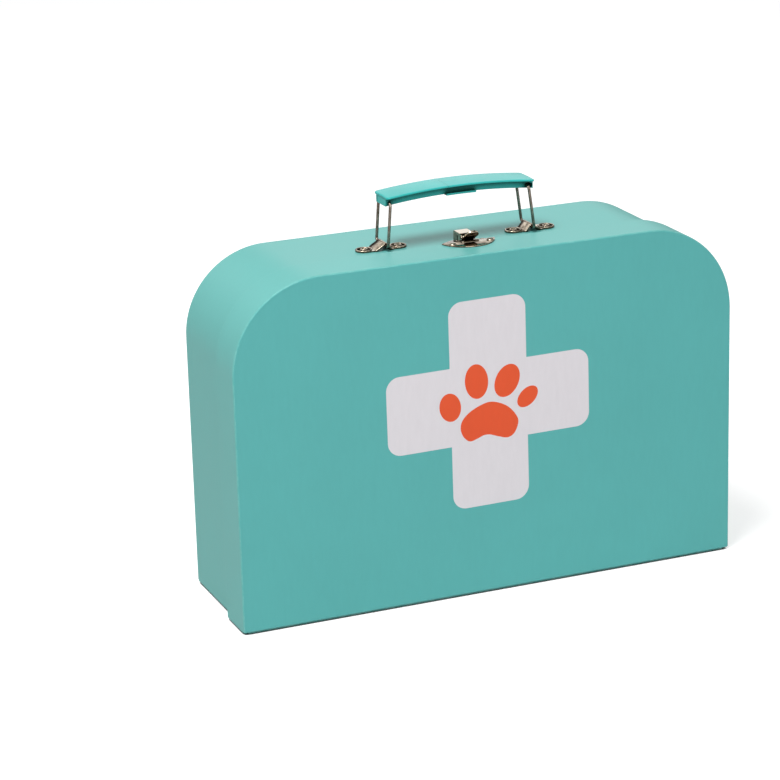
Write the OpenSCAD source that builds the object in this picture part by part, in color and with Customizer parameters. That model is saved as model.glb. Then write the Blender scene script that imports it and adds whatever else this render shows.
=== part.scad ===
// Toy doctor case: a wrapped board case with a hinged telescoping lid, a wire
// handle with a moulded grip and a small snap latch. Millimetres, +Z up, front at -Y.
// The origin is the centre of the closed case's footprint, on the surface it stands on.

/* [Case] */
// Width of the lid
case_w = 300; // [296:1:310]
// Height of the lid
case_h = 198.1; // [190:0.1:210]
// Depth of the closed case
case_d = 88.4; // [80:0.2:100]
// Depth of the lid, from its front to the seam
lid_d = 27.6; // [24:0.2:32]
// Radius of the lid's top corners
corner_r = 51.2; // [40:0.2:60]
// Thickness of the board
board_t = 1.7; // [1.2:0.1:2]
// Thickness of the lining paper
lining_t = 0.3; // [0.2:0.05:0.4]
// Thickness of the printed front sheet
print_t = 0.3; // [0.2:0.05:0.4]
// Thickness of the hinge cloth under the case
hinge_t = 0.5; // [0.3:0.1:0.8]
// How far the tray reaches into the lid
overlap = 10; // [6:0.5:10]

/* [Print] */
// Span of the cross from side to side
cross_w = 122; // [100:1:130]
// Height of the cross
cross_h = 120; // [100:1:130]
// Width of the arms of the cross
arm_w = 46; // [36:1:50]
// Height of the centre of the cross
cross_z = 112.8; // [100:0.1:120]

/* [Handle] */
// Distance from the centre to each bracket
bracket_x = 45.3; // [44:0.1:48]
// Distance from the centre to the foot of each wire ring
foot_x = 44.3; // [44:0.1:45]
// Height of the feet of the wire rings
foot_z = 198.4; // [198:0.1:200]
// Length of a wire ring between the middles of its two bars
ring_l = 24.75; // [24:0.05:25.5]
// Width of a wire ring between the middles of its legs
ring_w = 17.2; // [16:0.2:18]
// Diameter of the wire
wire_d = 1.7; // [1.4:0.1:1.8]
// Length of the grip
grip_l = 89.3; // [88.8:0.1:92]
// Width of the grip's cover
grip_w = 19.6; // [18.4:0.2:22]
// Height of the grip's arch
grip_rise = 2.8; // [1:0.1:4]

/* [Latch] */
// Width of the two latch plates
latch_w = 32; // [30:1:34]
// How far each latch plate reaches from the seam
latch_reach = 13; // [12:0.5:15]
// Width of the latch housing
housing_w = 8.2; // [8:0.2:10]
// Radius of the tongue's round end
tongue_r = 4.2; // [3.8:0.1:5]

/* [Hidden] */
$fn = 96;
front_y = -case_d / 2;
back_y = case_d / 2;
seam_y = front_y + lid_d;        // also the hinge line, at the underside
fold_gap = 0.1;                  // from the hinge line to each shell
lift = 1.2;                      // the walls of both shells stop this far above the ground

// The tray is smaller than the lid all round, except under the case.
side_inset = 3.35;
top_inset = 2.5;
tray_w = case_w - 2 * side_inset;
tray_h = case_h - top_inset;
tray_r = corner_r - (side_inset + top_inset) / 2;
foot_r = 0.8;                    // radius of the bottom corners
wall_h = board_t + hinge_t;      // top of the bottom walls
lid_board_y = front_y + print_t; // front of the lid's board
lid_in_y = lid_board_y + board_t;
tray_in_y = back_y - board_t;
lining_back = 2.4;               // the linings stop short of the open rims

// Handle
wire_r = wire_d / 2;
left_lean = 2.0;                 // how far the top bar leans inwards of the foot
right_lean = 3.2;
ring_bend = 2;                   // bend radius of the wire, to its middle
left_top = [-foot_x + left_lean, foot_z + sqrt(pow(ring_l, 2) - pow(left_lean, 2))];
right_top = [foot_x - right_lean, foot_z + sqrt(pow(ring_l, 2) - pow(right_lean, 2))];
bore_r = wire_r + 0.07;
strap_l = 30;
strap_w = 9.6;
strap_t = 0.8;
saddle_w = 11;                   // along the bar
saddle_wall = 0.8;
saddle_half = 4.4;               // half its width at the foot
rivet_x = 10.1;
eyelet_r = 2.9;
end_rim_w = 1;                   // raised rim round each end of a strap
end_rim_h = 0.5;
shank_r = 1.5;
hole_r = 1.55;
washer_t = 0.8;
washer_r = 4;
small_washer_r = 2.9;            // of the latch rivets, which stand close to the seam
tray_top_in = tray_h - board_t;

// Grip
grip_half = grip_l / 2;
grip_end_z = 226.6;              // top of the grip at its ends
grip_r = (pow(grip_half, 2) + pow(grip_rise, 2)) / (2 * grip_rise);
grip_mid_z = grip_end_z + grip_rise;
cover_t = 1.3;
core_h = 5.1;                    // from the grip's top to the core's underside
core_w = 11.2;
end_wall = 2;
end_wall_w = 13.6;
grip_corner_r = 2;               // corners of the cover, seen from above
split_x = -8;                    // where the two halves meet
clip_x = [-8.3, 9.5];           // the left half's clip under the right one
clip_w = 15.6;
clip_t = 0.9;
slot_travel = 2.15;              // the right bar moves this far out as the handle folds
slot_play = 0.33;                // and this far up and down

// Latch
plate_t = 0.7;
latch_r = (pow(latch_w / 2, 2) + pow(latch_reach, 2)) / (2 * latch_reach);
plate_gap = 0.4;                 // from the seam to each latch plate
latch_rivet_x = 11.3;
lid_rivet_y = seam_y - 5.1;
tray_rivet_y = seam_y + 5.1;
tray_plate_z = tray_h + plate_t;
lid_plate_z = case_h + plate_t;
keeper_r = 1.2;
keeper_l = 10.6;
keeper_y = seam_y - 3.5;
keeper_top = lid_plate_z + 0.9;
cheek_t = 0.8;
housing_y = [seam_y + 1.2, seam_y + 10.8];
housing_top = tray_h + 7;
roof_y = seam_y + 1.9;
pin_y = seam_y + 0.4;
pin_z = lid_plate_z + 1.6;
pin_r = 0.6;
barrel_r = 1.25;
tongue_t = 0.8;
neck_l = 1.4;                    // flat part of the tongue, from the pin forwards
curl_r = 3.4;                    // its end curls up along this radius, to its middle
curl_angle = 42;
head_reach = 2.2;                // from the curl to the middle of the round end
rim_w = 0.9;
rim_t = 1.4;

teal = [0.40, 0.70, 0.69];
teal_light = [0.55, 0.78, 0.74];
nickel = [0.76, 0.73, 0.70];
white_ink = [0.86, 0.85, 0.86];
orange_ink = [0.88, 0.35, 0.23];
paper = [0.93, 0.92, 0.88];

// Width and height of a case outline: round top corners, slightly round bottom ones.
module arch(w, h, rt, rb) {
    translate([-w / 2, rb]) square([w, h - rt - rb]);
    translate([-w / 2 + rt, h / 2]) square([w - 2 * rt, h / 2]);
    translate([-w / 2 + rb, 0]) square([w - 2 * rb, h / 2]);
    for (s = [-1, 1]) {
        translate([s * (w / 2 - rt), h - rt]) circle(r = rt);
        if (rb > 0) translate([s * (w / 2 - rb), rb]) circle(r = rb);
    }
}

// The same, but with its bottom open: it runs down square past the bottom edge.
module open_arch(w, h, rt) {
    translate([-w / 2, -1]) square([w, h - rt + 1]);
    translate([-w / 2 + rt, 0]) square([w - 2 * rt, h]);
    for (s = [-1, 1]) translate([s * (w / 2 - rt), h - rt]) circle(r = rt);
}

module round_rect(w, h, r) {
    square([w - 2 * r, h], center = true);
    square([w, h - 2 * r], center = true);
    for (s = [-1, 1], t = [-1, 1]) translate([s * (w / 2 - r), t * (h / 2 - r)]) circle(r = r);
}

// Stands a drawing up: its Y becomes Z, and it fills the depth from y0 to y1.
module upright(y0, y1) {
    translate([0, y1, 0]) rotate([90, 0, 0]) linear_extrude(y1 - y0) children();
}

module lid_outline() translate([0, lift]) arch(case_w, case_h - lift, corner_r, foot_r);
module tray_outline() translate([0, lift]) arch(tray_w, tray_h - lift, tray_r, foot_r);

// What is inside a shell's walls, drawn in by t and open at the bottom.
module lid_inside(t) open_arch(case_w - 2 * t, case_h - t, corner_r - t);
module tray_inside(t) open_arch(tray_w - 2 * t, tray_h - t, tray_r - t);

// A ring of wall round a shell from y0 to y1, between two depths inside its outline.
module side_wall(y0, y1, lid, t_out, t_in, z0) {
    upright(y0, y1) intersection() {
        difference() {
            if (lid) {
                if (t_out == 0) lid_outline(); else lid_inside(t_out);
            } else {
                if (t_out == 0) tray_outline(); else tray_inside(t_out);
            }
            if (lid) lid_inside(t_in); else tray_inside(t_in);
        }
        translate([-case_w, z0]) square([2 * case_w, case_h]);
    }
}

module bottom_wall(w, y0, y1) {
    translate([-w / 2 + board_t, y0, hinge_t]) cube([w - 2 * board_t, y1 - y0, board_t]);
}

// The collar is cut away behind the latch plate, to clear its rivets.
module latch_notch() {
    notch_w = latch_w + 1;
    translate([-notch_w / 2, front_y, tray_h - 4]) cube([notch_w, seam_y + plate_gap - front_y, 8]);
}

// Holes down through a top wall, at both sides of the centre.
module top_holes(xs, y, z) {
    for (x = xs) translate([x, y, z - 5]) cylinder(r = hole_r, h = 12);
}

handle_xs = [for (s = [-1, 1], t = [-1, 1]) s * bracket_x + t * rivet_x];
latch_xs = [-latch_rivet_x, latch_rivet_x];

module tray_back_panel() color(teal) upright(tray_in_y, back_y) tray_outline();

module tray_side_band() color(teal) difference() {
    union() {
        side_wall(seam_y + fold_gap, tray_in_y, false, 0, board_t, 0);
        side_wall(seam_y - overlap, seam_y + fold_gap, false, 0, board_t, wall_h + 0.6);
    }
    latch_notch();
    top_holes(handle_xs, 0, tray_h);
    top_holes(latch_xs, tray_rivet_y, tray_h);
}

module tray_bottom_wall() color(teal) bottom_wall(tray_w, seam_y + fold_gap, tray_in_y);

module tray_panel_lining() color(paper) upright(tray_in_y - lining_t, tray_in_y) intersection() {
    tray_inside(board_t + 0.05);
    translate([-case_w, wall_h]) square([2 * case_w, case_h]);
}

module tray_wall_lining() color(paper) difference() {
    side_wall(seam_y - overlap + lining_back, tray_in_y - lining_t, false,
              board_t, board_t + lining_t, wall_h + 0.6);
    latch_notch();
    top_holes(handle_xs, 0, tray_h);
    top_holes(latch_xs, tray_rivet_y, tray_h);
}

module lid_front_panel() color(teal) upright(lid_board_y, lid_in_y) lid_outline();

module lid_side_band() color(teal) difference() {
    side_wall(lid_in_y, seam_y - fold_gap, true, 0, board_t, 0);
    top_holes(latch_xs, lid_rivet_y, case_h);
}

module lid_bottom_wall() color(teal) bottom_wall(case_w, lid_in_y, seam_y - fold_gap);

module lid_panel_lining() color(paper) upright(lid_in_y, lid_in_y + lining_t) intersection() {
    lid_inside(board_t + 0.05);
    translate([-case_w, wall_h]) square([2 * case_w, case_h]);
}

module lid_wall_lining() color(paper) difference() {
    side_wall(lid_in_y + lining_t, seam_y - lining_back, true, board_t, board_t + lining_t, wall_h);
    top_holes(latch_xs, lid_rivet_y, case_h);
}

// The cloth under the case is one piece that folds at the hinge line, in two leaves here.
module hinge_cloth_tray() color(teal)
    translate([-tray_w / 2 + 3, seam_y + fold_gap, 0]) cube([tray_w - 6, tray_in_y - seam_y - fold_gap, hinge_t]);

module hinge_cloth_lid() color(teal)
    translate([-case_w / 2 + 3, lid_in_y, 0]) cube([case_w - 6, seam_y - fold_gap - lid_in_y, hinge_t]);

module cross_shape() translate([0, cross_z]) {
    round_rect(cross_w, arm_w, 8);
    round_rect(arm_w, cross_h, 8);
}

// A leaning oval: half width a, half height b.
module toe(x, z, a, b, lean) {
    translate([x, z]) rotate(-lean)
        polygon([for (i = [0:35]) let (t = i * 10) [a * cos(t) * (1 - 0.08 * sin(t)), b * sin(t)]]);
}

// A smooth closed curve through its points.
function wrap(p, i) = p[(i + len(p)) % len(p)];
function curve_point(p, i, t) =
    let (a = wrap(p, i - 1), b = wrap(p, i), c = wrap(p, i + 1), d = wrap(p, i + 2))
    0.5 * (2 * b + (c - a) * t + (2 * a - 5 * b + 4 * c - d) * t * t + (3 * b - a - 3 * c + d) * t * t * t);
function smooth(p, n) = [for (i = [0:len(p) - 1], j = [0:n - 1]) curve_point(p, i, j / n)];

pad_points = [[0.5, 0], [8.5, -2.6], [13.6, -9.2], [17, -14.8], [15.3, -21.4], [9.2, -22.2], [0, -19.6],
              [-9, -20.6], [-15.2, -20.2], [-18.4, -14.2], [-14, -8], [-7.5, -2.4]];

module paw_shape() {
    toe(-24.8, cross_z + 0.1, 6.7, 8.4, -4);
    toe(-8.3, cross_z + 13, 7.1, 10.2, -4);
    toe(9.8, cross_z + 10.9, 7, 10.4, 17);
    toe(22.7, cross_z - 0.5, 4.8, 8.4, 38);
    translate([0, cross_z]) polygon(smooth(pad_points, 5));
}

module lid_front_sheet() color(teal) upright(front_y, lid_board_y) difference() {
    lid_outline();
    cross_shape();
}

module lid_cross_print() color(white_ink) upright(front_y, lid_board_y) difference() {
    cross_shape();
    paw_shape();
}

module lid_paw_print() color(orange_ink) upright(front_y, lid_board_y) paw_shape();

// A hollow-headed rivet: ring head on top of z, shank, and a clinched tail below.
module eyelet(z, grip_len) translate([0, 0, z]) {
    difference() {
        rotate_extrude() union() {
            square([eyelet_r - 0.55, 1.1]);
            translate([eyelet_r - 0.55, 0.55]) circle(r = 0.55);
        }
        translate([0, 0, 0.3]) cylinder(r = 1, h = 2);
    }
    translate([0, 0, -grip_len - 0.6]) cylinder(r = shank_r, h = grip_len + 0.6);
    translate([0, 0, -grip_len - 0.6]) cylinder(r = 2.3, h = 0.6);
}

// A domed rivet, made the same way.
module dome_rivet(z, grip_len) translate([0, 0, z]) {
    intersection() {
        translate([0, 0, -1.4]) sphere(r = 2.5);
        cylinder(r = 3, h = 3);
    }
    translate([0, 0, -grip_len - 0.5]) cylinder(r = 1.2, h = grip_len + 0.5);
    translate([0, 0, -grip_len - 0.5]) cylinder(r = 1.8, h = 0.5);
}

module washer(z, r) translate([0, 0, z]) difference() {
    cylinder(r = r, h = washer_t);
    translate([0, 0, -1]) cylinder(r = hole_r, h = 4);
}

strap_z = tray_h + strap_t;
handle_stack = strap_t + board_t + lining_t + washer_t;
latch_stack = plate_t + board_t + lining_t + washer_t;

// A strap with round ends, bent up into a saddle over the foot of a wire ring. bar_x is
// where the bar lies, from the middle of the strap.
module bracket(bar_x) {
    end_x = (strap_l - strap_w) / 2;
    difference() {
        union() {
            translate([0, 0, tray_h]) linear_extrude(strap_t) {
                square([2 * end_x, strap_w], center = true);
                for (s = [-1, 1]) translate([s * end_x, 0]) circle(d = strap_w);
            }
            for (s = [-1, 1]) translate([s * end_x, 0, tray_h]) difference() {
                cylinder(d = strap_w, h = strap_t + end_rim_h);
                translate([0, 0, strap_t]) cylinder(d = strap_w - 2 * end_rim_w, h = 2);
            }
            upright(-saddle_w / 2, saddle_w / 2) {
                translate([bar_x, foot_z]) circle(r = wire_r + saddle_wall);
                polygon([[-saddle_half - 1, tray_h + 0.2], [-saddle_half, strap_z + 0.5],
                         [bar_x - 1.39, foot_z + 0.88], [bar_x + 1.39, foot_z + 0.88],
                         [saddle_half, strap_z + 0.5], [saddle_half + 1, tray_h + 0.2]]);
            }
        }
        upright(-saddle_w, saddle_w) {
            translate([bar_x, foot_z]) circle(r = bore_r);
            polygon([[-saddle_half + 1, tray_h - 1], [-saddle_half + 1, strap_z],
                     [bar_x - 0.85, foot_z], [bar_x + 0.85, foot_z],
                     [saddle_half - 1, strap_z], [saddle_half - 1, tray_h - 1]]);
        }
        for (s = [-1, 1]) translate([s * rivet_x, 0, tray_h - 1]) cylinder(r = hole_r, h = 4);
    }
}

module handle_bracket_left() color(nickel) translate([-bracket_x, 0, 0]) bracket(bracket_x - foot_x);
module handle_bracket_right() color(nickel) translate([bracket_x, 0, 0]) bracket(foot_x - bracket_x);
module handle_rivets() color(nickel)
    for (x = handle_xs) translate([x, 0, 0]) eyelet(strap_z, handle_stack);
module handle_washers() color(nickel)
    for (x = handle_xs) translate([x, 0, 0]) washer(tray_top_in - lining_t - washer_t, washer_r);

// One closed loop of wire in the plane of its two bars, from its foot up.
module wire_loop() {
    half_w = ring_w / 2;
    straight_w = ring_w - 2 * ring_bend;
    straight_l = ring_l - 2 * ring_bend;
    for (z = [0, ring_l]) translate([0, -straight_w / 2, z]) rotate([-90, 0, 0])
        cylinder(r = wire_r, h = straight_w, $fn = 32);
    for (s = [-1, 1]) translate([0, s * half_w, ring_bend]) cylinder(r = wire_r, h = straight_l, $fn = 32);
    for (s = [-1, 1], top = [0, 1])
        translate([0, s * (half_w - ring_bend), top ? ring_l - ring_bend : ring_bend])
        rotate([0, 0, 90]) rotate([90, 0, 0])
        rotate([0, 0, s > 0 ? (top ? 0 : 270) : (top ? 90 : 180)])
        rotate_extrude(angle = 90, $fn = 32) translate([ring_bend, 0]) circle(r = wire_r, $fn = 32);
}

module handle_ring_left() color(nickel)
    translate([-foot_x, 0, foot_z]) rotate([0, asin(left_lean / ring_l), 0]) wire_loop();
module handle_ring_right() color(nickel)
    translate([foot_x, 0, foot_z]) rotate([0, -asin(right_lean / ring_l), 0]) wire_loop();

// The band of the arch between two depths below its top, from x0 to x1, w wide.
module arch_band(depth0, depth1, x0, x1, w) {
    upright(-w / 2, w / 2) intersection() {
        translate([0, grip_mid_z - grip_r]) difference() {
            circle(r = grip_r - depth0, $fn = 720);
            circle(r = grip_r - depth1, $fn = 720);
        }
        translate([x0, grip_end_z - 12]) square([x1 - x0, 20]);
    }
}

// The cover of the arch, with round corners.
module grip_cover(x0, x1) intersection() {
    arch_band(0, cover_t, x0, x1, grip_w + 2);
    translate([0, 0, grip_end_z - 10]) linear_extrude(20) round_rect(grip_l, grip_w, grip_corner_r);
}

// An end wall, down to the depth of the core.
module grip_end(s) {
    x0 = s < 0 ? -grip_half : grip_half - end_wall;
    arch_band(0.5, core_h - 0.2, x0, x0 + end_wall, end_wall_w);
}

module grip_left_half() color(teal) difference() {
    union() {
        grip_cover(-grip_half - 1, split_x);
        arch_band(0.5, core_h, -grip_half, split_x, core_w);
        arch_band(core_h, core_h + clip_t, clip_x[0], clip_x[1], clip_w);
        grip_end(-1);
    }
    translate([left_top[0], -grip_w, left_top[1]]) rotate([-90, 0, 0]) cylinder(r = bore_r, h = 2 * grip_w);
}

module grip_right_half() color(teal) difference() {
    union() {
        grip_cover(split_x, grip_half + 1);
        arch_band(0.5, core_h, split_x, grip_half, core_w);
        grip_end(1);
    }
    upright(-grip_w, grip_w) translate([right_top[0], right_top[1]]) {
        for (x = [0, slot_travel], z = [-slot_play, slot_play]) translate([x, z]) circle(r = bore_r);
        translate([0, -slot_play - bore_r]) square([slot_travel, 2 * (slot_play + bore_r)]);
        translate([-bore_r, -slot_play]) square([slot_travel + 2 * bore_r, 2 * slot_play]);
    }
}

// The piece of a disc that reaches from the seam, towards the back for s = 1.
module latch_disc(s) {
    intersection() {
        translate([0, seam_y + s * (latch_reach - latch_r)]) circle(r = latch_r);
        translate([-latch_w, s > 0 ? seam_y + plate_gap : seam_y - plate_gap - latch_w])
            square([2 * latch_w, latch_w]);
    }
}

module plate_holes(y, z) for (x = latch_xs) translate([x, y, z - 1]) cylinder(r = hole_r, h = 4);

module latch_base_plate() color(nickel) difference() {
    translate([0, 0, tray_h]) linear_extrude(plate_t) latch_disc(1);
    plate_holes(tray_rivet_y, tray_h);
}

// Side of the folded channel: its cheeks reach forward over the seam to carry the pin.
module cheek_side() polygon([
    [housing_y[0], tray_plate_z], [housing_y[0], lid_plate_z], [pin_y - 0.7, lid_plate_z + 0.4],
    [pin_y - 1.5, lid_plate_z + 1], [pin_y - 1.5, lid_plate_z + 2.1], [roof_y, housing_top],
    [housing_y[1], housing_top], [housing_y[1], tray_plate_z]
]);

module latch_housing() color(nickel) difference() {
    union() {
        for (x = [-housing_w / 2, housing_w / 2 - cheek_t]) translate([x, 0, 0])
            rotate([90, 0, 90]) linear_extrude(cheek_t) cheek_side();
        translate([-housing_w / 2, roof_y, housing_top - cheek_t])
            cube([housing_w, housing_y[1] - roof_y, cheek_t]);
        translate([-housing_w / 2, housing_y[1] - cheek_t, tray_plate_z])
            cube([housing_w, cheek_t, housing_top - tray_plate_z]);
    }
    translate([-housing_w, pin_y, pin_z]) rotate([0, 90, 0]) cylinder(r = pin_r, h = 2 * housing_w);
    translate([-housing_w, seam_y + 4.6, tray_plate_z + 1.4]) cube([2 * housing_w, 1.3, 3]);
}

module latch_pin() color(nickel)
    translate([-housing_w / 2 - 0.3, pin_y, pin_z]) rotate([0, 90, 0]) cylinder(r = pin_r, h = housing_w + 0.6);

module latch_base_rivets() color(nickel)
    for (x = latch_xs) translate([x, tray_rivet_y, 0]) dome_rivet(tray_plate_z, latch_stack);
module latch_base_washers() color(nickel)
    for (x = latch_xs) translate([x, tray_rivet_y, 0]) washer(tray_top_in - lining_t - washer_t, small_washer_r);

module lid_latch_plate() color(nickel) {
    difference() {
        translate([0, 0, case_h]) linear_extrude(plate_t) latch_disc(-1);
        plate_holes(lid_rivet_y, case_h);
    }
    // The keeper is a rib across the plate that the tongue snaps over.
    intersection() {
        translate([-keeper_l / 2, keeper_y, keeper_top - keeper_r]) rotate([0, 90, 0])
            cylinder(r = keeper_r, h = keeper_l);
        translate([-keeper_l, keeper_y - 2, lid_plate_z - 0.1]) cube([2 * keeper_l, 4, 3]);
    }
}

module lid_latch_rivets() color(nickel)
    for (x = latch_xs) translate([x, lid_rivet_y, 0]) dome_rivet(lid_plate_z, latch_stack);
module lid_latch_washers() color(nickel)
    for (x = latch_xs) translate([x, lid_rivet_y, 0]) washer(case_h - board_t - lining_t - washer_t, small_washer_r);

// Moves to the middle of the tongue's round end, on its middle plane.
module at_head() {
    translate([0, pin_y - neck_l, pin_z + curl_r]) rotate([-curl_angle, 0, 0])
        translate([0, -head_reach, -curl_r]) children();
}

// A point of the tongue's side: at angle a of its curl, r from the middle of the curl,
// and d further along the flap.
function curl_point(a, r, d) = [
    pin_y - neck_l - r * sin(a) - d * cos(a), pin_z + curl_r - r * cos(a) + d * sin(a)
];

module tongue_side() {
    below = curl_r + tongue_t / 2;
    above = curl_r - tongue_t / 2;
    flap = head_reach + tongue_r + 1;
    polygon(concat(
        [[pin_y, pin_z - tongue_t / 2]],
        [for (i = [0:8]) curl_point(i * curl_angle / 8, below, 0)],
        [curl_point(curl_angle, below, flap), curl_point(curl_angle, above, flap)],
        [for (i = [8:-1:0]) curl_point(i * curl_angle / 8, above, 0)],
        [[pin_y, pin_z + tongue_t / 2]]
    ));
}

// The tongue is hung on the pin by its barrel, passes over the keeper and curls up
// into a round flap with a rolled rim.
module latch_tongue() color(nickel) {
    neck = housing_w / 2 - cheek_t - 0.25;
    neck_end = pin_y - neck_l - curl_r * sin(curl_angle) - head_reach;
    difference() {
        union() {
            intersection() {
                translate([-10, 0, 0]) rotate([90, 0, 90]) linear_extrude(20) tongue_side();
                union() {
                    translate([-neck, neck_end, pin_z - 4]) cube([2 * neck, pin_y - neck_end, 12]);
                    at_head() translate([0, 0, -1.5]) cylinder(r = tongue_r, h = 3);
                }
            }
            at_head() difference() {
                translate([0, 0, -rim_t / 2]) cylinder(r = tongue_r + 0.2, h = rim_t);
                translate([0, 0, -rim_t]) cylinder(r = tongue_r - rim_w, h = 2 * rim_t);
                translate([-2 * tongue_r, 0.4, -rim_t]) cube([4 * tongue_r, 2 * tongue_r, 2 * rim_t]);
            }
            translate([-neck, pin_y, pin_z]) rotate([0, 90, 0]) cylinder(r = barrel_r, h = 2 * neck);
        }
        translate([-housing_w, pin_y, pin_z]) rotate([0, 90, 0])
            cylinder(r = pin_r + 0.06, h = 2 * housing_w);
    }
}

tray_back_panel();
tray_side_band();
tray_bottom_wall();
tray_panel_lining();
tray_wall_lining();
hinge_cloth_tray();
handle_bracket_left();
handle_bracket_right();
handle_rivets();
handle_washers();
latch_base_plate();
latch_housing();
latch_base_rivets();
latch_base_washers();
latch_pin();
lid_front_panel();
lid_front_sheet();
lid_cross_print();
lid_paw_print();
lid_side_band();
lid_bottom_wall();
lid_panel_lining();
lid_wall_lining();
hinge_cloth_lid();
lid_latch_plate();
lid_latch_rivets();
lid_latch_washers();
latch_tongue();
handle_ring_left();
handle_ring_right();
grip_left_half();
grip_right_half();
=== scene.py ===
import bpy
import numpy as np
from mathutils import Matrix, Vector
from mathutils.geometry import tessellate_polygon


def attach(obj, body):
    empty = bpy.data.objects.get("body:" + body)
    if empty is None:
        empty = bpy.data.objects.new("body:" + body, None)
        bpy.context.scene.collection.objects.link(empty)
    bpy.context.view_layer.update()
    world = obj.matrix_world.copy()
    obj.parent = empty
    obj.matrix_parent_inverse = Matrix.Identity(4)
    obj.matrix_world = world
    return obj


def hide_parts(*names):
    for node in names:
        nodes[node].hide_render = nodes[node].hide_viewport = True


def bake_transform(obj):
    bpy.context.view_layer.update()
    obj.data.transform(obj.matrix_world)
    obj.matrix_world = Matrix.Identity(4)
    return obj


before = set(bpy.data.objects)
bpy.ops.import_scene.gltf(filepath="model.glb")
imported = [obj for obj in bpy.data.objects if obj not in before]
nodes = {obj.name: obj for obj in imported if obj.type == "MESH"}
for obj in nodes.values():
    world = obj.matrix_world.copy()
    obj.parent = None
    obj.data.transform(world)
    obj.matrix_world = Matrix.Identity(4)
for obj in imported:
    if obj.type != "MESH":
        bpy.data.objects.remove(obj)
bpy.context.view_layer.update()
mm = 0.001
print("frame loaded,", len(nodes), "nodes")

making = {
    "merge": 0.002,          # points closer than this become one
    "smooth": 35,            # edges sharper than this many degrees stay sharp
    "bevelAngle": 40,
}


def addObject(name, data):
    piece = bpy.data.objects.new(name, data)
    bpy.context.scene.collection.objects.link(piece)
    return piece


# How far each vertex is from lying in a flat place, kept with the mesh for the worn edges of paper and the
# brighter edges of metal:
# one less the length of the mean of the unit normals of the faces round it.
def markEdges(mesh):
    normals = np.zeros(len(mesh.polygons) * 3)
    mesh.polygons.foreach_get("normal", normals)
    sizes = np.zeros(len(mesh.polygons), int)
    mesh.polygons.foreach_get("loop_total", sizes)
    corners = np.zeros(len(mesh.loops), int)
    mesh.loops.foreach_get("vertex_index", corners)
    owner = np.repeat(np.arange(len(sizes)), sizes)
    total = np.zeros((len(mesh.vertices), 3))
    np.add.at(total, corners, normals.reshape(-1, 3)[owner])
    count = np.bincount(corners, minlength=len(total))
    mark = 1 - np.linalg.norm(total, axis=1) / np.maximum(count, 1)
    mesh.attributes.new("edgeMark", "FLOAT", "POINT").data.foreach_set("value", mark.astype(np.float32))


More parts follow.
